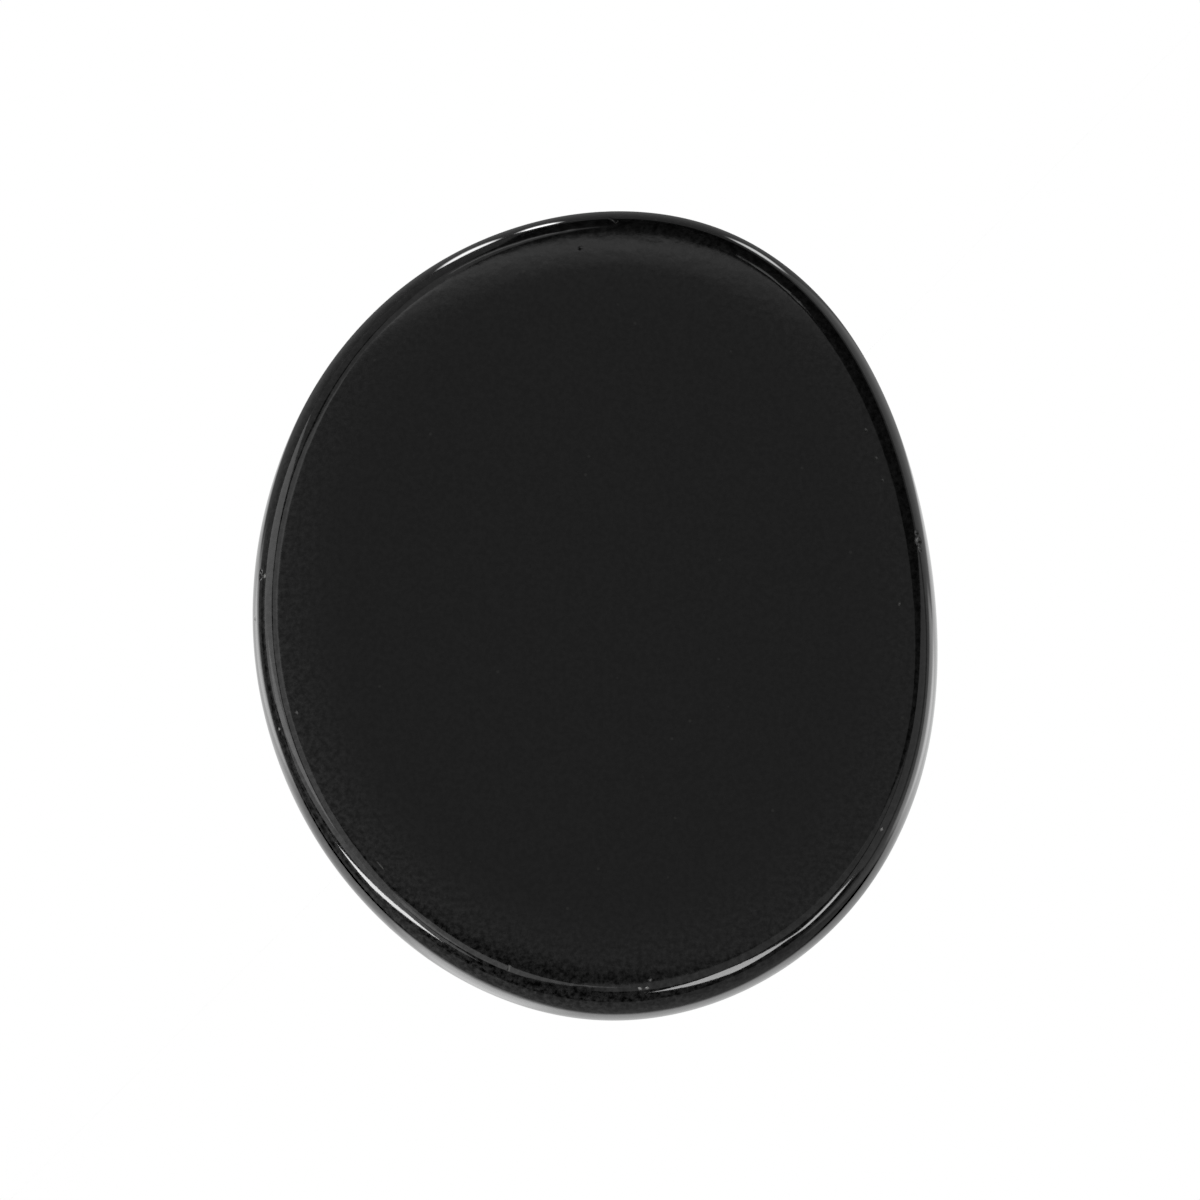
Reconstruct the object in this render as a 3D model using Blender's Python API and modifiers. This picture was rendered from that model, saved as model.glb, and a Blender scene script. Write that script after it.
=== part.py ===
"""A basalt massage stone: one flat oval stone with two lapped faces and a rounded, polished edge.

The stone lies flat, in metres with +Z up. Its underside rests at Z = 0 and its length runs along Y.
The origin is the middle of its box on the underside.
"""

import math

import bmesh
import bpy

MM = 0.001

# Overall sizes
STONE_LENGTH = 80.0 * MM
STONE_WIDTH = 67.2 * MM
STONE_THICKNESS = 12.0 * MM

# The rounded edge, measured inwards from the outline
EDGE_WIDTH = 2.6 * MM
EDGE_FULLNESS = 2.2  # exponent of the edge's curve: 2 is an ellipse, more is fuller
ARRIS_SHARE = 0.1  # share of the edge's curve left off where it would turn level

# Next to the arris each face falls away slightly, from lapping by hand
ROLL_OFF_WIDTH = 5.0 * MM
ROLL_OFF_DROP = 0.08 * MM

# A hand-shaped oval: an ellipse with slight swells, each as (lobes, share of the size, direction in degrees)
OUTLINE_SWELLS = ((3, 0.017, 65.0), (4, 0.0073, 56.8), (5, 0.004, 51.0))
OUTLINE_LEAN = -0.013  # sideways drift of the long axis for each unit along it
# The edge is worn a little wider in places: (lobes, extra width, direction in degrees)
EDGE_SWELLS = ((2, 0.08 * MM, 81.5), (3, 0.06 * MM, 44.5))

# How finely the surface is divided
OUTLINE_SEGMENTS = 96
EDGE_STEPS = 12
ROLL_OFF_STEPS = 4

STONE_COLOUR = (0.011, 0.011, 0.012, 1.0)
STONE_ROUGHNESS = 0.12
SHARP_ANGLE = math.radians(25)


def clear_scene():
    for obj in list(bpy.data.objects):
        bpy.data.objects.remove(obj, do_unlink=True)


def swell(swells, turn):
    """Sum of the swells in one direction round the stone."""
    return sum(size * math.cos(lobes * (turn - math.radians(at))) for lobes, size, at in swells)


def fitted(values, size):
    """The values centred on zero and stretched to span the size exactly."""
    low = min(values)
    high = max(values)
    return [(value - (low + high) / 2) * size / (high - low) for value in values]


def outline():
    """The widest section: for each segment its point, its inward direction and its edge width."""
    turns = [2 * math.pi * step / OUTLINE_SEGMENTS for step in range(OUTLINE_SEGMENTS)]
    across = []
    along = []
    for turn in turns:
        reach = 1 + swell(OUTLINE_SWELLS, turn)
        y = STONE_LENGTH / 2 * reach * math.sin(turn)
        across.append(STONE_WIDTH / 2 * reach * math.cos(turn) + OUTLINE_LEAN * y)
        along.append(y)
    across = fitted(across, STONE_WIDTH)
    along = fitted(along, STONE_LENGTH)
    stations = []
    for i, turn in enumerate(turns):
        after = (i + 1) % OUTLINE_SEGMENTS
        run_x = across[after] - across[i - 1]
        run_y = along[after] - along[i - 1]
        run = math.hypot(run_x, run_y)
        inward = (-run_y / run, run_x / run)
        edge_width = EDGE_WIDTH + swell(EDGE_SWELLS, turn)
        stations.append(((across[i], along[i]), inward, edge_width))
    return stations


def edge_profile():
    """From the widest section up to the arris: (share of the edge width, further distance in, height)."""
    arris_height = STONE_THICKNESS / 2 - ROLL_OFF_DROP
    full_height = arris_height / (1 - ARRIS_SHARE**EDGE_FULLNESS) ** (1 / EDGE_FULLNESS)
    last_turn = math.acos(ARRIS_SHARE ** (EDGE_FULLNESS / 2))
    rows = []
    for step in range(EDGE_STEPS + 1):
        turn = last_turn * step / EDGE_STEPS
        share = (1 - math.cos(turn) ** (2 / EDGE_FULLNESS)) / (1 - ARRIS_SHARE)
        height = full_height * math.sin(turn) ** (2 / EDGE_FULLNESS)
        rows.append((share, 0.0, height))
    return rows


def roll_off_profile():
    """From just inside the arris to where the face is flat, in the same terms as the edge."""
    rows = []
    for step in range(1, ROLL_OFF_STEPS + 1):
        inwards = step / ROLL_OFF_STEPS
        height = STONE_THICKNESS / 2 - ROLL_OFF_DROP * (1 - inwards) ** 2
        rows.append((1.0, ROLL_OFF_WIDTH * inwards, height))
    return rows


def extrude_ring(mesh, ring):
    """Extrudes a closed ring of edges and returns the new ring."""
    grown = bmesh.ops.extrude_edge_only(mesh, edges=ring)["geom"]
    corners = {item for item in grown if isinstance(item, bmesh.types.BMVert)}
    edges = [item for item in grown if isinstance(item, bmesh.types.BMEdge)]
    return [edge for edge in edges if set(edge.verts) <= corners]


def place_ring(ring, station_of, stations, share, distance, height):
    """Moves a ring's corners in from the outline, by a share of the edge width and a further distance."""
    for corner in {corner for edge in ring for corner in edge.verts}:
        (x, y), (inward_x, inward_y), edge_width = stations[corner[station_of]]
        inset = share * edge_width + distance
        corner.co = (x + inward_x * inset, y + inward_y * inset, height)


def half_stone():
    """The upper half as an open surface, from the widest section to the middle of the face."""
    stations = outline()
    mesh = bmesh.new()
    bmesh.ops.create_circle(mesh, cap_ends=False, segments=OUTLINE_SEGMENTS, radius=STONE_LENGTH / 2)
    station_of = mesh.verts.layers.int.new("station")
    for i, corner in enumerate(mesh.verts):
        corner[station_of] = i
    ring = list(mesh.edges)
    for step, row in enumerate(edge_profile() + roll_off_profile()):
        if step > 0:
            ring = extrude_ring(mesh, ring)
        place_ring(ring, station_of, stations, *row)
    bmesh.ops.contextual_create(mesh, geom=ring)
    bmesh.ops.recalc_face_normals(mesh, faces=mesh.faces)
    return mesh


def polished_basalt():
    material = bpy.data.materials.new("polished_basalt")
    material.use_nodes = True
    shader = material.node_tree.nodes["Principled BSDF"]
    shader.inputs["Base Color"].default_value = STONE_COLOUR
    shader.inputs["Roughness"].default_value = STONE_ROUGHNESS
    shader.inputs["Metallic"].default_value = 0.0
    material.diffuse_color = STONE_COLOUR
    return material


def make_stone(collection):
    shell = bpy.data.meshes.new("massage_stone")
    mesh = half_stone()
    mesh.to_mesh(shell)
    mesh.free()
    shell.materials.append(polished_basalt())
    shell.shade_smooth()
    shell.set_sharp_from_angle(angle=SHARP_ANGLE)
    stone = bpy.data.objects.new("massage_stone", shell)
    stone.location.z = STONE_THICKNESS / 2
    collection.objects.link(stone)
    # The underside is lapped and rounded like the top
    underside = stone.modifiers.new("underside", "MIRROR")
    underside.use_axis = (False, False, True)
    underside.use_mirror_merge = True
    underside.merge_threshold = 0.01 * MM
    return stone


clear_scene()
stone_parts = bpy.data.collections.new("basalt_massage_stone")
bpy.context.scene.collection.children.link(stone_parts)
make_stone(stone_parts)
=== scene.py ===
import math
import random

import bpy
from mathutils import Matrix, Vector, kdtree, noise
from mathutils.bvhtree import BVHTree


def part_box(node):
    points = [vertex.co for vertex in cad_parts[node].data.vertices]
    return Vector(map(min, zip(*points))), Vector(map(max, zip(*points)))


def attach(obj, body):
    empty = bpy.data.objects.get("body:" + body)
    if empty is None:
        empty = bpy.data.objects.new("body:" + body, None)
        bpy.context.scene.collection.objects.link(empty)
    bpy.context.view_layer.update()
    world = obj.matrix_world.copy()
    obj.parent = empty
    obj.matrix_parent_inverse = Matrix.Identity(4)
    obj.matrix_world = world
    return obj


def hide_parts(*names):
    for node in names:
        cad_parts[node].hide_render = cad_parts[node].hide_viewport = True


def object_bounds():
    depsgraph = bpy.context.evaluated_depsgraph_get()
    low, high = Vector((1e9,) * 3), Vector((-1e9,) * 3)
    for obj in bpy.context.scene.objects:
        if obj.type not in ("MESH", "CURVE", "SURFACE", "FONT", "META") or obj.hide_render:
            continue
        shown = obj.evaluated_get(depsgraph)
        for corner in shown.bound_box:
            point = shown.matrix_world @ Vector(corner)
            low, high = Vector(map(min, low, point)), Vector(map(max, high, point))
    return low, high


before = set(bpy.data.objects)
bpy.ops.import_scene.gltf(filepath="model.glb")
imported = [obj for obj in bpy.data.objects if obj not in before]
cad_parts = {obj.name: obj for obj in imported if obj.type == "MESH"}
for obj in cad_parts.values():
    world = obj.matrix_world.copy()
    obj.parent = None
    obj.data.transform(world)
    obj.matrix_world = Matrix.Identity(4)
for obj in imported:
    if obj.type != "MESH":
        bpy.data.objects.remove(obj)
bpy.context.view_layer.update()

mm = 0.001


def toLinear(hexColour):
    # "8a8f94" as painted on screen -> the linear values a shader wants
    parts = [int(hexColour[i:i + 2], 16) / 255 for i in (0, 2, 4)]
    return tuple(p / 12.92 if p <= 0.04045 else ((p + 0.055) / 1.055) ** 2.4 for p in parts) + (1,)


def addNode(tree, kind, settings=None, links=None):
    # settings are properties or socket values, links are {input: output socket}
    node = tree.nodes.new(kind)
    for name, value in (settings or {}).items():
        if isinstance(name, str) and hasattr(node, name):
            setattr(node, name, value)
        else:
            node.inputs[name].default_value = value
    for name, source in (links or {}).items():
        tree.links.new(source, node.inputs[name])
    return node


def activate(piece):
    bpy.ops.object.select_all(action="DESELECT")
    piece.select_set(True)
    bpy.context.view_layer.objects.active = piece


def selectByPlace(piece, mode, wanted):
    # from inside edit mode: selects the faces whose middle, or the edges whose two ends, pass the test
    bpy.ops.mesh.select_mode(type="VERT")
    bpy.ops.mesh.select_all(action="DESELECT")
    bpy.ops.mesh.select_mode(type=mode)
    bpy.ops.object.mode_set(mode="OBJECT")
    mesh = piece.data
    if mode == "FACE":
        for face in mesh.polygons:
            face.select = wanted(face.center)
    else:
        for edge in mesh.edges:
            ends = [mesh.vertices[i].co for i in edge.vertices]
            edge.select = wanted(ends[0]) and wanted(ends[1])
    bpy.ops.object.mode_set(mode="EDIT")


def finishWith(piece, kind, **settings):
    modifier = piece.modifiers.new(kind.title(), kind)
    for name, value in settings.items():
        setattr(modifier, name, value)
    activate(piece)
    bpy.ops.object.modifier_apply(modifier=modifier.name)


# looking nearly straight down, from a little below the stone's wide end; distance, tilt and aim are the
# rounded output of a numeric fit
camera = {
    "lens": 135,
    "distance": 442 * mm,
    "tilt": 8.7,                  # degrees off straight down
    "aim": (0.5 * mm, 1.2 * mm),  # the stone sits a touch low and left in the frame
}


def setCamera():
    low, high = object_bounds()
    middle = (low + high) / 2
    target = middle + Vector((*camera["aim"], 0))
    tilt = math.radians(camera["tilt"])
    back = Vector((0, -math.sin(tilt), math.cos(tilt)))
    bpy.ops.object.camera_add(location=target + back * camera["distance"])
    viewer = bpy.context.object
    viewer.name = "camera"
    viewer.rotation_mode = "QUATERNION"
    viewer.rotation_quaternion = (-back).to_track_quat("-Z", "Y")
    viewer.data.lens = camera["lens"]
    viewer.data.sensor_width = 36
    viewer.data.clip_start = 0.01
    viewer.data.clip_end = 50
    bpy.context.scene.camera = viewer


setCamera()
print("camera set")

stone = {
    "arris": 0.28 * mm,        # half width of the softened line between the edge and each face
    "rollOff": 5.0 * mm,       # each face falls away over this width next to the arris
    "rollOffDrop": 0.08 * mm,
    "rollOffRings": 4,
    "unevenness": 0.05 * mm,   # how far hand polishing left the edge out of true
    "unevenOver": 9 * mm,      # from one rise to the next
    "unevenFade": 12,          # the more, the closer to the flats it carries on
    "smoothing": 2,
}


def shapeStone():
    # the CAD stone's own edge band is kept, the two faces are laid in again with clean rings
    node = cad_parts["massage_stone"]
    low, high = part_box("massage_stone")
    middle = (low.z + high.z) / 2
    arrisHeight = (high.z - low.z) / 2 - stone["rollOffDrop"]
    piece = bpy.data.objects.new("polished_stone", node.data.copy())
    bpy.context.scene.collection.objects.link(piece)
    piece.data.materials.clear()
    activate(piece)
    bpy.ops.mesh.customdata_custom_splitnormals_clear()
    bpy.ops.object.mode_set(mode="EDIT")
    bpy.ops.mesh.select_all(action="SELECT")
    bpy.ops.mesh.remove_doubles(threshold=0.001 * mm)
    inFace = 0.002 * mm
    selectByPlace(piece, "FACE", lambda co: abs(co.z - middle) > arrisHeight + inFace)
    bpy.ops.mesh.delete(type="FACE")
    bpy.ops.mesh.select_all(action="SELECT")
    bpy.ops.mesh.tris_convert_to_quads(face_threshold=math.pi, shape_threshold=math.pi)
    ringWidth = stone["rollOff"] / stone["rollOffRings"]
    for side in (1, -1):
        selectByPlace(piece, "EDGE", lambda co: abs((co.z - middle) * side - arrisHeight) < inFace)
        bpy.ops.mesh.edge_face_add()
        bpy.ops.mesh.select_mode(type="FACE")
        fallen = 1.0
        for ring in range(stone["rollOffRings"]):
            after = (1 - (ring + 1) / stone["rollOffRings"]) ** 2
            rise = stone["rollOffDrop"] * (fallen - after)
            bpy.ops.mesh.inset(thickness=ringWidth, depth=rise, use_even_offset=True)
            fallen = after
    selectByPlace(piece, "EDGE", lambda co: abs(abs(co.z - middle) - arrisHeight) < inFace)
    bpy.ops.mesh.bevel(offset=stone["arris"], segments=3, affect="EDGES")
    bpy.ops.mesh.select_all(action="SELECT")
    bpy.ops.mesh.normals_make_consistent(inside=False)
    bpy.ops.object.mode_set(mode="OBJECT")
    print("stone:", len(piece.data.polygons), "faces before smoothing")
    return piece


def leaveUneven(piece):
    # polished by hand, so the edge swells and thins a little; always inwards, and never on the flats
    low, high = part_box("massage_stone")
    middle = (low.z + high.z) / 2
    half = (high.z - low.z) / 2
    normals = [vertex.normal.copy() for vertex in piece.data.vertices]
    for vertex, normal in zip(piece.data.vertices, normals):
        share = 1 - min(1, abs(vertex.co.z - middle) / half) ** stone["unevenFade"]
        wave = (noise.noise(vertex.co / stone["unevenOver"]) - 0.5) / 2
        vertex.co += normal * wave * share * stone["unevenness"]


polishedStone = shapeStone()
leaveUneven(polishedStone)
finishWith(polishedStone, "SUBSURF", levels=stone["smoothing"], render_levels=stone["smoothing"])
print("stone:", len(polishedStone.data.polygons), "faces")

wear = {
    "cuts": 4,                 # how finely the surface is divided under a mark
    "strays": 26,              # small pits scattered over the edge and the underside's border
    "strayWidth": (0.12 * mm, 0.3 * mm),
    "strayDepth": 0.25,        # as a share of the width
    "strayClimb": (-75, 30),   # degrees down and up the edge
    "strayAim": 0.93,          # share of the way out to the rim, where they are aimed
    "strayFresh": 0.2,
    "seed": 7,
    "chipSpacing": 0.8 * mm,   # along the arris, from one tiny chip to the next
    "chipDepth": 0.014 * mm,
    "chipReach": 0.25 * mm,    # how far from the arris they go
    "chipTip": 0.01,           # a surface tipped less than this is flat, and stays true
    "margin": 0.35 * mm,       # how far past a mark the surface is divided
    "ragged": 0.25,            # how much a mark's outline wanders
    "raggedOver": 0.15 * mm,
}
# seen from above, in mm: x, y, length, width, depth, which way it runs in degrees, how fresh the break is
marks = {
    "nick": (1.0, 39.7, 1.2, 0.80, 0.26, 90, 0.0),
    "nickFleck": (1.0, 39.6, 0.60, 0.30, 0.02, 90, 1.0),
    "hairline": (1.7, 38.1, 1.5, 0.14, 0.07, -55, 0.3),
    "hairlineFork": (2.2, 37.9, 0.6, 0.10, 0.04, 60, 0.3),
    "vesicle": (31.5, 6.2, 1.1, 0.80, 0.22, 20, 0.15),
    "vesicleAbove": (31.3, 7.0, 0.65, 0.40, 0.14, 20, 0.15),
    "vesicleBelow": (31.6, 5.4, 0.65, 0.36, 0.14, -10, 0.3),
    "vesicleIsland": (31.45, 6.3, 0.34, 0.28, 0.01, 0, 0.8),
    "leftPit": (-32.5, 2.95, 1.0, 0.80, 0.24, 80, 0.0),
    "leftPitFleck": (-32.05, 2.75, 0.44, 0.38, 0.03, 0, 1.0),
    "leftNotch": (-33.1, -1.2, 1.0, 0.50, 0.10, 0, 1.0),
    "leftFleck": (-30.5, -12.2, 0.34, 0.32, 0.04, 0, 1.0),
    "leftInnerFleck": (-28.8, -10.7, 0.30, 0.26, 0.03, 0, 0.4),
    "rightFleck": (27.6, -22.0, 0.34, 0.30, 0.04, 0, 1.0),
    "scratch": (-20.6, -25.5, 1.3, 0.09, 0.02, -50, 0.35),
    "arrisCrack": (-8.2, -35.3, 0.9, 0.13, 0.05, 70, 0.5),
    "frontFleck": (4.3, -37.3, 0.40, 0.32, 0.05, 10, 1.0),
    "frontFleckRight": (5.0, -37.25, 0.36, 0.30, 0.05, 10, 1.0),
    "frontFleckInner": (5.3, -36.5, 0.24, 0.24, 0.03, 0, 0.6),
    "rightSpeckA": (28.0, 12.1, 0.26, 0.22, 0.03, 0, 0.25),
    "rightSpeckB": (27.4, 14.3, 0.28, 0.22, 0.03, 0, 0.25),
    "rightSpeckC": (26.4, 17.1, 0.30, 0.24, 0.03, 0, 0.3),
    "rightScuff": (29.5, -0.1, 0.40, 0.16, 0.02, 60, 0.4),
    "darkPit": (-1.4, 35.2, 0.34, 0.30, 0.08, 0, 0.0),
}


def chipArris(piece):
    # the line between edge and face takes every knock, so it is finely nibbled; the flats stay true
    low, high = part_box("massage_stone")
    middle = (low.z + high.z) / 2
    arrisHeight = (high.z - low.z) / 2 - stone["rollOffDrop"]
    # the normals are read first, since Blender works them all out again after each move
    normals = [vertex.normal.copy() for vertex in piece.data.vertices]
    for vertex, normal in zip(piece.data.vertices, normals):
        away = abs(abs(vertex.co.z - middle) - arrisHeight) / wear["chipReach"]
        tipped = min(1, (1 - abs(normal.z)) / wear["chipTip"])
        bite = max(0, noise.noise(vertex.co / wear["chipSpacing"]))
        vertex.co -= normal * bite * tipped * max(0, 1 - away) * wear["chipDepth"]


def gatherMarks(piece):
    # each mark as its place on the surface, the directions it runs and is deep in, its size and freshness
    surface = BVHTree.FromObject(piece, bpy.context.evaluated_depsgraph_get())
    low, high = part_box("massage_stone")
    found = []
    for x, y, length, width, depth, turn, fresh in marks.values():
        spot, normal, _, _ = surface.ray_cast(Vector((x * mm, y * mm, high.z * 2)), Vector((0, 0, -1)))
        run = Vector((math.cos(math.radians(turn)), math.sin(math.radians(turn)), 0))
        found.append((spot, normal, run, length * mm, width * mm, depth * mm, fresh))
    dice = random.Random(wear["seed"])
    for _ in range(wear["strays"]):
        bearing = dice.uniform(0, 2 * math.pi)
        climb = math.radians(dice.uniform(*wear["strayClimb"]))
        level = math.cos(climb)
        away = Vector((math.cos(bearing) * level, math.sin(bearing) * level, math.sin(climb)))
        width = dice.uniform(*wear["strayWidth"])
        rim = Vector((math.cos(bearing) * high.x, math.sin(bearing) * high.y, (low.z + high.z) / 2))
        rim *= wear["strayAim"]
        spot, normal, _, _ = surface.ray_cast(rim + away * high.y, -away)
        if spot is not None:
            depth = width * wear["strayDepth"]
            found.append((spot, normal, Vector((0, 0, 1)), width, width, depth, wear["strayFresh"]))
    return found


def markStone(piece):
    places = gatherMarks(piece)
    mesh = piece.data
    faces = kdtree.KDTree(len(mesh.polygons))
    for face in mesh.polygons:
        faces.insert(face.center, face.index)
    faces.balance()
    activate(piece)
    bpy.ops.object.mode_set(mode="EDIT")
    bpy.ops.mesh.select_mode(type="FACE")
    bpy.ops.mesh.select_all(action="DESELECT")
    bpy.ops.object.mode_set(mode="OBJECT")
    for spot, _, _, length, _, _, _ in places:
        for _, index, _ in faces.find_range(spot, length / 2 + wear["margin"]):
            mesh.polygons[index].select = True
    bpy.ops.object.mode_set(mode="EDIT")
    bpy.ops.mesh.subdivide(number_cuts=wear["cuts"])
    bpy.ops.object.mode_set(mode="OBJECT")
    corners = kdtree.KDTree(len(mesh.vertices))
    for vertex in mesh.vertices:
        corners.insert(vertex.co, vertex.index)
    corners.balance()
    freshness = mesh.attributes.new("freshness", "FLOAT", "POINT")
    moves = {}
    for spot, normal, run, length, width, depth, fresh in places:
        along = (run - normal * run.dot(normal)).normalized()
        across = normal.cross(along)
        for co, index, _ in corners.find_range(spot, length):
            offset = co - spot
            ragged = 1 + wear["ragged"] * noise.noise(co / wear["raggedOver"])
            reach = math.hypot(offset.dot(along) / (length / 2), offset.dot(across) / (width / 2))
            reach *= ragged
            if reach < 1:
                sunk = depth * (1 - reach * reach) ** 1.5
                if sunk > moves.get(index, (0, normal))[0]:
                    moves[index] = (sunk, normal)
                shade = fresh * (1 - reach ** 4)
                freshness.data[index].value = max(freshness.data[index].value, shade)
    for index, (sunk, normal) in moves.items():
        mesh.vertices[index].co -= normal * sunk
    print("marks:", len(places), "cut,", len(mesh.polygons), "faces")


chipArris(polishedStone)
markStone(polishedStone)

border = {
    "from": 0.74,       # share of the way out to the rim where the open grain with its painted sheen begins to show
    "to": 0.95,         # and where it shows fully
    "sheenBearing": 228,   # bearing of the side where the painted sheen is strongest
    "least": 0.3,       # how much of it shows on the far side
}


def paintBorderGrainAndSheen(piece):
    # the middle of each face closes up to a glassy skin, the border keeps some open grain; a painted sheen
    # goes with it, strongest toward one bearing
    low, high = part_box("massage_stone")
    grainAndPaintedSheen = piece.data.attributes.new("grainAndPaintedSheen", "FLOAT", "POINT")
    sheenToward = math.radians(border["sheenBearing"])
    for vertex, item in zip(piece.data.vertices, grainAndPaintedSheen.data):
        x, y = vertex.co.x / high.x, vertex.co.y / high.y
        outward = (math.hypot(x, y) - border["from"]) / (border["to"] - border["from"])
        # this share makes the painted sheen strongest toward one bearing and weaker on the far side
        facing = (1 + math.cos(math.atan2(y, x) - sheenToward)) / 2
        item.value = min(1, max(0, outward)) * (border["least"] + (1 - border["least"]) * facing ** 3)


paintBorderGrainAndSheen(polishedStone)
activate(polishedStone)
bpy.ops.object.shade_smooth()

basalt = {
    "darkGrain": "0b0b0b",
    "paleGrain": "151515",
    "grainSize": 0.45 * mm,    # pyroxene and feldspar, only just told apart
    "grainBand": (0.35, 0.65), # the part of the noise that goes from one colour to the other
    "openDark": "020202",      # the same grains where the skin is still open; the pale one also stands in for a painted sheen
    "openPaleAndSheen": "363636",
    "openSize": 0.5 * mm,
    "openBand": (0.38, 0.68),
    "fleckSpacing": 3.2 * mm,
    "fleckSize": 0.12 * mm,
    "fleckBlur": 1.5,          # its soft border, as a share of its size
    "fleck": "242423",
    "broken": "8a8a88",        # fresh basalt in a chip is matt grey
    "ior": 1.6,
    "polish": 0.075,
    "polishSpread": 0.02,
    "polishBand": (0.3, 0.7),
    "brokenRoughness": 0.45,
    "rippleSize": 1.1 * mm,    # left by the polishing felt
    "rippleDepth": 0.0035 * mm,
    "grainRelief": 0.0008 * mm,
}


def polishedBasalt():
    # basalt lapped flat and tumbled to a deep gloss: near black, a sharp mirror that wavers slightly,
    # with a fine dark grain under it, open grain and a painted sheen at the border, and matt grey where the
    # skin is chipped
    material = bpy.data.materials.new("polishedBasalt")
    material.use_nodes = True
    tree = material.node_tree
    shader = tree.nodes["Principled BSDF"]
    shader.inputs["IOR"].default_value = basalt["ior"]
    place = addNode(tree, "ShaderNodeTexCoord").outputs["Object"]
    grain = addNode(tree, "ShaderNodeTexNoise", {
        "Scale": 1 / basalt["grainSize"], "Detail": 3, "Roughness": 0.6,
    }, {"Vector": place})
    grainFrom, grainTo = basalt["grainBand"]
    tint = addNode(tree, "ShaderNodeMapRange", {1: grainFrom, 2: grainTo}, {0: grain.outputs["Fac"]})
    ground = addNode(tree, "ShaderNodeMix", {
        "data_type": "RGBA", 6: toLinear(basalt["darkGrain"]), 7: toLinear(basalt["paleGrain"]),
    }, {0: tint.outputs[0]})
    openNoise = addNode(tree, "ShaderNodeTexNoise", {
        "Scale": 1 / basalt["openSize"], "Detail": 4, "Roughness": 0.65,
    }, {"Vector": place})
    openFrom, openTo = basalt["openBand"]
    openTint = addNode(tree, "ShaderNodeMapRange", {1: openFrom, 2: openTo}, {0: openNoise.outputs["Fac"]})
    openGroundAndSheen = addNode(tree, "ShaderNodeMix", {
        "data_type": "RGBA", 6: toLinear(basalt["openDark"]), 7: toLinear(basalt["openPaleAndSheen"]),
    }, {0: openTint.outputs[0]})
    # the border mask: open grain, plus painted sheen that is strongest toward one side
    grainAndSheenMask = addNode(tree, "ShaderNodeAttribute", {"attribute_name": "grainAndPaintedSheen"}).outputs["Fac"]
    ground = addNode(tree, "ShaderNodeMix", {"data_type": "RGBA"}, {
        0: grainAndSheenMask, 6: ground.outputs[2], 7: openGroundAndSheen.outputs[2],
    })
    cells = addNode(tree, "ShaderNodeTexVoronoi", {"Scale": 1 / basalt["fleckSpacing"]}, {"Vector": place})
    fleckReach = basalt["fleckSize"] / basalt["fleckSpacing"]
    fleck = addNode(tree, "ShaderNodeMapRange", {
        1: fleckReach * basalt["fleckBlur"], 2: fleckReach,
    }, {0: cells.outputs["Distance"]})
    flecked = addNode(tree, "ShaderNodeMix", {
        "data_type": "RGBA", 7: toLinear(basalt["fleck"]),
    }, {0: fleck.outputs[0], 6: ground.outputs[2]})
    fresh = addNode(tree, "ShaderNodeAttribute", {"attribute_name": "freshness"}).outputs["Fac"]
    colour = addNode(tree, "ShaderNodeMix", {
        "data_type": "RGBA", 7: toLinear(basalt["broken"]),
    }, {0: fresh, 6: flecked.outputs[2]})
    ripple = addNode(tree, "ShaderNodeTexNoise", {
        "Scale": 1 / basalt["rippleSize"], "Detail": 2, "Roughness": 0.5,
    }, {"Vector": place})
    smoothest = basalt["polish"] - basalt["polishSpread"] / 2
    glossFrom, glossTo = basalt["polishBand"]
    gloss = addNode(tree, "ShaderNodeMapRange", {
        1: glossFrom, 2: glossTo, 3: smoothest, 4: basalt["polish"] + basalt["polishSpread"] / 2,
    }, {0: grain.outputs["Fac"]})
    rough = addNode(tree, "ShaderNodeMix", {"data_type": "FLOAT", 3: basalt["brokenRoughness"]},
                    {0: fresh, 2: gloss.outputs[0]})
    wavy = addNode(tree, "ShaderNodeBump", {"Distance": basalt["rippleDepth"]},
                   {"Height": ripple.outputs["Fac"]})
    relief = addNode(tree, "ShaderNodeBump", {"Distance": basalt["grainRelief"]},
                     {"Height": grain.outputs["Fac"], "Normal": wavy.outputs[0]})
    tree.links.new(colour.outputs[2], shader.inputs["Base Color"])
    tree.links.new(rough.outputs[0], shader.inputs["Roughness"])
    tree.links.new(relief.outputs[0], shader.inputs["Normal"])
    return material


polishedStone.data.materials.append(polishedBasalt())
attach(polishedStone, "root")
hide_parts("massage_stone")
print("basalt made")

studio = {
    "tableSize": 6.0,
    "tableWhite": 1.0,      # what the table shows
    "tableGlow": 0.18,      # what it throws up into the polish
    "contact": 1 * mm,      # reach of the shade right under the rounded edge
    "underShade": 9 * mm,   # how far the stone dims the light that the table throws back
    "surround": 0.001,      # the dark room
    "lampDistance": 0.9,
}
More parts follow.
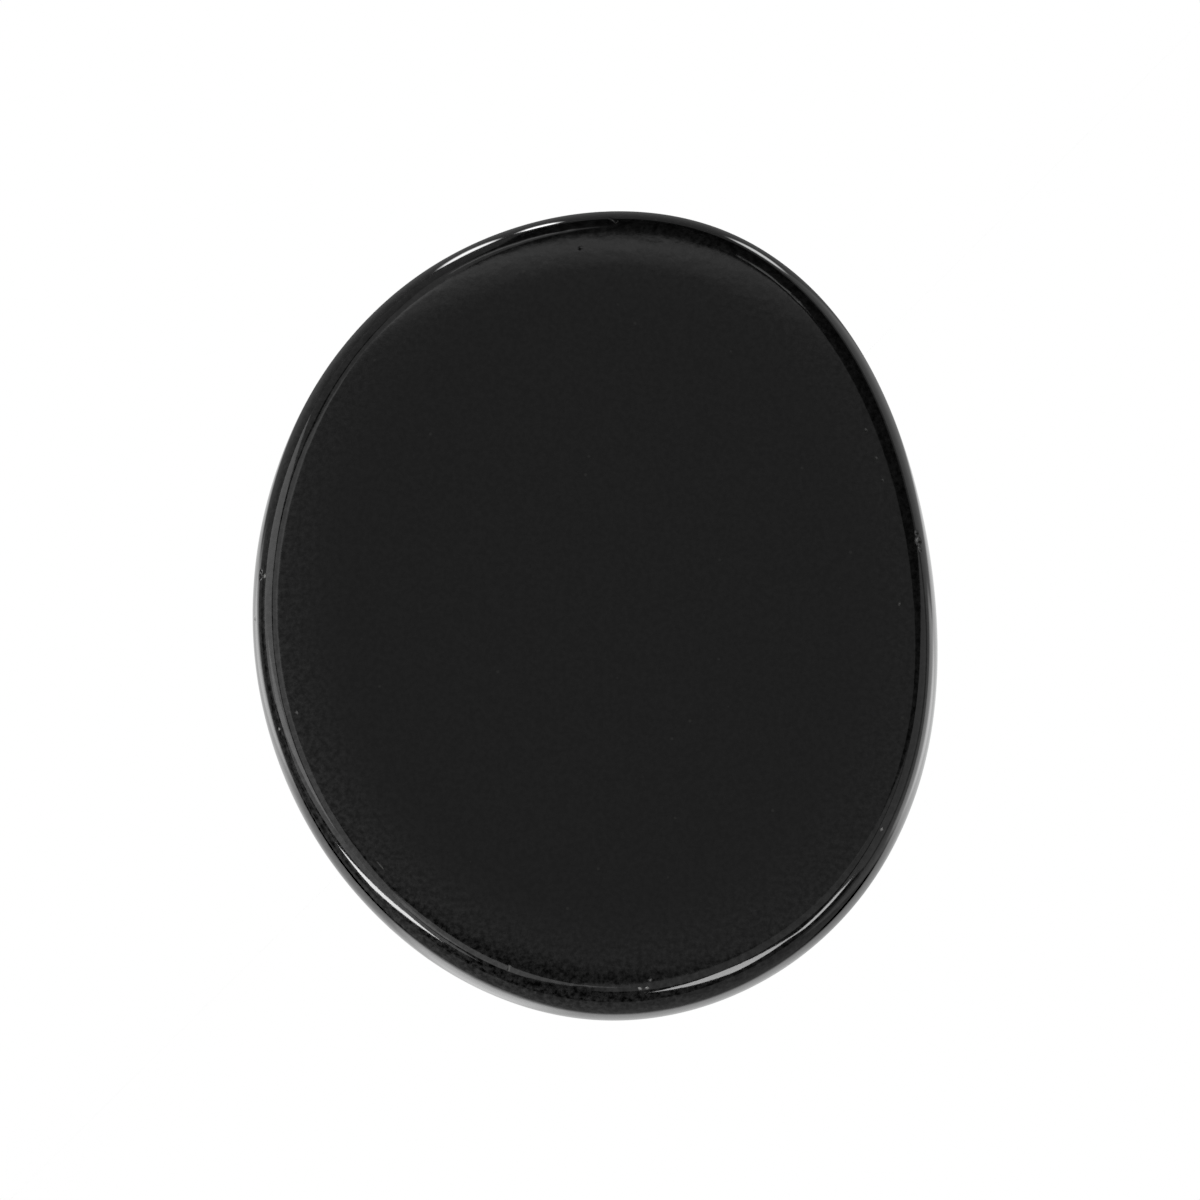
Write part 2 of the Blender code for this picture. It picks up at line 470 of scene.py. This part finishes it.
# softboxes and panels: bearing round the stone, drop from straight overhead, width and height in
# metres, turn of the panel in its own plane, brightness against the white table. This isn't a designed
# rig: most rows here and in the pools, and the table's glow and the surround, are the rounded output of a
# numeric fit of the reflections in the edge, so they can't be read or changed one by one like real lamps
panels = {
    "keyRight": (297, 56.5, 0.26, 0.43, -33, 6.4),
    "keyRightLow": (319, 67.5, 0.21, 0.17, -20, 7.0),
    "stripFrontLeft": (217, 82, 0.12, 0.86, 22, 13.0),
    "wallLeft": (172, 69, 0.65, 1.02, 20, 1.2),
    "wallFrontLeft": (204, 59, 0.46, 0.95, 40, 0.9),
    "ceilingLeft": (179, 21.5, 0.60, 0.28, 5, 0.7),
    "ceilingFrontLeft": (232, 17, 0.20, 0.31, 5, 0.8),
    "ceiling": (90, 8.6, 0.60, 0.29, 10, 0.19),
    "ceilingBack": (89, 17.9, 0.26, 0.02, 0, 0.45),
    "ceilingBackWide": (89, 17.2, 0.30, 0.04, 0, 0.16),
    "wallBack": (126, 85, 0.68, 1.8, 8, 0.24),
    "slitBack": (114, 30, 0.28, 0.28, 38, 0.4),
    "slitBackHigh": (104, 33, 0.13, 0.05, 0, 0.9),
    "slitBackRight": (65, 28, 0.08, 0.08, 0, 1.0),
    "wallRight": (353, 84, 0.75, 1.35, -15, 0.43),
    "ceilingFrontRight": (319, 25, 0.46, 0.66, -42, 0.36),
}
# pools of light on the table close to the stone: bearing, distance, width, length, softness, brightness;
# a negative one is a shade. They are fitted like the panels
pools = {
    "backRight": (64.5, 68 * mm, 12 * mm, 22 * mm, 3.5 * mm, 4.2),
    "back": (100, 83 * mm, 8 * mm, 36 * mm, 3 * mm, 12.0),
    "backLeft": (111, 80 * mm, 12.5 * mm, 45 * mm, 3 * mm, 8.5),
    "right": (8, 62 * mm, 180 * mm, 62 * mm, 4 * mm, 0.25),
    "frontRight": (347, 49 * mm, 34 * mm, 18 * mm, 3 * mm, 0.9),
    "left": (187, 42.5 * mm, 30 * mm, 8 * mm, 2.5 * mm, 0.8),
    "shadeLeft": (199, 74 * mm, 80 * mm, 44 * mm, 8 * mm, -0.15),
    "underneath": (268, 7 * mm, 87 * mm, 78 * mm, 2.7 * mm, 1.0),
    "frontLow": (250, 44 * mm, 22 * mm, 9 * mm, 3 * mm, 0.7),
    "shadeFrontLeft": (222, 43 * mm, 26 * mm, 12 * mm, 6 * mm, -0.5),
    "shadeFrontRight": (314, 43 * mm, 18 * mm, 12 * mm, 6 * mm, -0.4),
}


def pointAt(bearing, drop, distance):
    # a place in the studio, seen from the stone
    across = math.sin(math.radians(drop)) * distance
    turn = math.radians(bearing)
    return Vector((across * math.cos(turn), across * math.sin(turn), math.cos(math.radians(drop)) * distance))


def hangPanel(name, bearing, drop, width, height, turn, brightness):
    low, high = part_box("massage_stone")
    middle = (low + high) / 2
    away = pointAt(bearing, drop, studio["lampDistance"])
    bpy.ops.object.light_add(type="AREA", location=middle + away)
    lamp = bpy.context.object
    lamp.name = name
    lamp.data.shape = "RECTANGLE"
    lamp.data.size = width
    lamp.data.size_y = height
    lamp.data.energy = brightness * math.pi * width * height
    lamp.visible_camera = False
    # its width runs round the stone, its height up and down, then it is turned in its own plane
    facing = away.normalized()
    level = math.radians(bearing)
    sideways = Vector((-math.sin(level), math.cos(level), 0))
    downwards = facing.cross(sideways) * -1
    tilt = math.radians(turn)
    across = sideways * math.cos(tilt) + downwards * math.sin(tilt)
    upright = facing.cross(across)
    lamp.rotation_mode = "QUATERNION"
    lamp.rotation_quaternion = Matrix((across, upright, facing)).transposed().to_quaternion()


def makeTable():
    low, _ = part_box("massage_stone")
    bpy.ops.mesh.primitive_plane_add(size=studio["tableSize"], location=(0, 0, low.z))
    table = bpy.context.object
    table.name = "table"
    material = bpy.data.materials.new("paleTable")
    material.use_nodes = True
    tree = material.node_tree
    tree.nodes.clear()
    place = addNode(tree, "ShaderNodeTexCoord").outputs["Object"]
    total = addNode(tree, "ShaderNodeValue")
    total.outputs[0].default_value = studio["tableGlow"]
    glow = total.outputs[0]
    for bearing, distance, width, length, softness, brightness in pools.values():
        turn = math.radians(bearing)
        spot = addNode(tree, "ShaderNodeMapping", {
            "vector_type": "TEXTURE",
            "Location": (distance * math.cos(turn), distance * math.sin(turn), 0),
            "Rotation": (0, 0, turn),
            "Scale": (length / 2, width / 2, 1),
        }, {"Vector": place})
        reach = addNode(tree, "ShaderNodeVectorMath", {"operation": "LENGTH"}, {0: spot.outputs[0]})
        blur = softness / min(width, length)
        fade = addNode(tree, "ShaderNodeMapRange", {
            "interpolation_type": "SMOOTHSTEP", 1: 1 - blur, 2: 1 + blur, 3: brightness, 4: 0.0,
        }, {0: reach.outputs["Value"]})
        glow = addNode(tree, "ShaderNodeMath", {"operation": "ADD"}, {0: glow, 1: fade.outputs[0]}).outputs[0]
    shade = addNode(tree, "ShaderNodeAmbientOcclusion", {"Distance": studio["contact"]})
    seen = addNode(tree, "ShaderNodeEmission", {"Strength": studio["tableWhite"]},
                   {0: shade.outputs["Color"]})
    dim = addNode(tree, "ShaderNodeAmbientOcclusion", {"Distance": studio["underShade"]})
    thrown = addNode(tree, "ShaderNodeEmission", {}, {0: dim.outputs["Color"], 1: glow})
    path = addNode(tree, "ShaderNodeLightPath")
    both = addNode(tree, "ShaderNodeMixShader", {}, {
        0: path.outputs["Is Camera Ray"], 1: thrown.outputs[0], 2: seen.outputs[0],
    })
    addNode(tree, "ShaderNodeOutputMaterial", {}, {0: both.outputs[0]})
    table.data.materials.append(material)


def makeRoom():
    world = bpy.data.worlds.new("studio")
    world.use_nodes = True
    bpy.context.scene.world = world
    tree = world.node_tree
    tree.nodes.clear()
    path = addNode(tree, "ShaderNodeLightPath")
    dark = addNode(tree, "ShaderNodeBackground", {0: (1, 1, 1, 1), 1: studio["surround"]})
    pale = addNode(tree, "ShaderNodeBackground", {0: (1, 1, 1, 1), 1: studio["tableWhite"]})
    both = addNode(tree, "ShaderNodeMixShader", {}, {
        0: path.outputs["Is Camera Ray"], 1: dark.outputs[0], 2: pale.outputs[0],
    })
    addNode(tree, "ShaderNodeOutputWorld", {}, {0: both.outputs[0]})


makeTable()
makeRoom()
for name, panel in panels.items():
    hangPanel(name, *panel)
bpy.context.scene.view_settings.view_transform = "Standard"
print("table set and", len(panels), "panels hung")
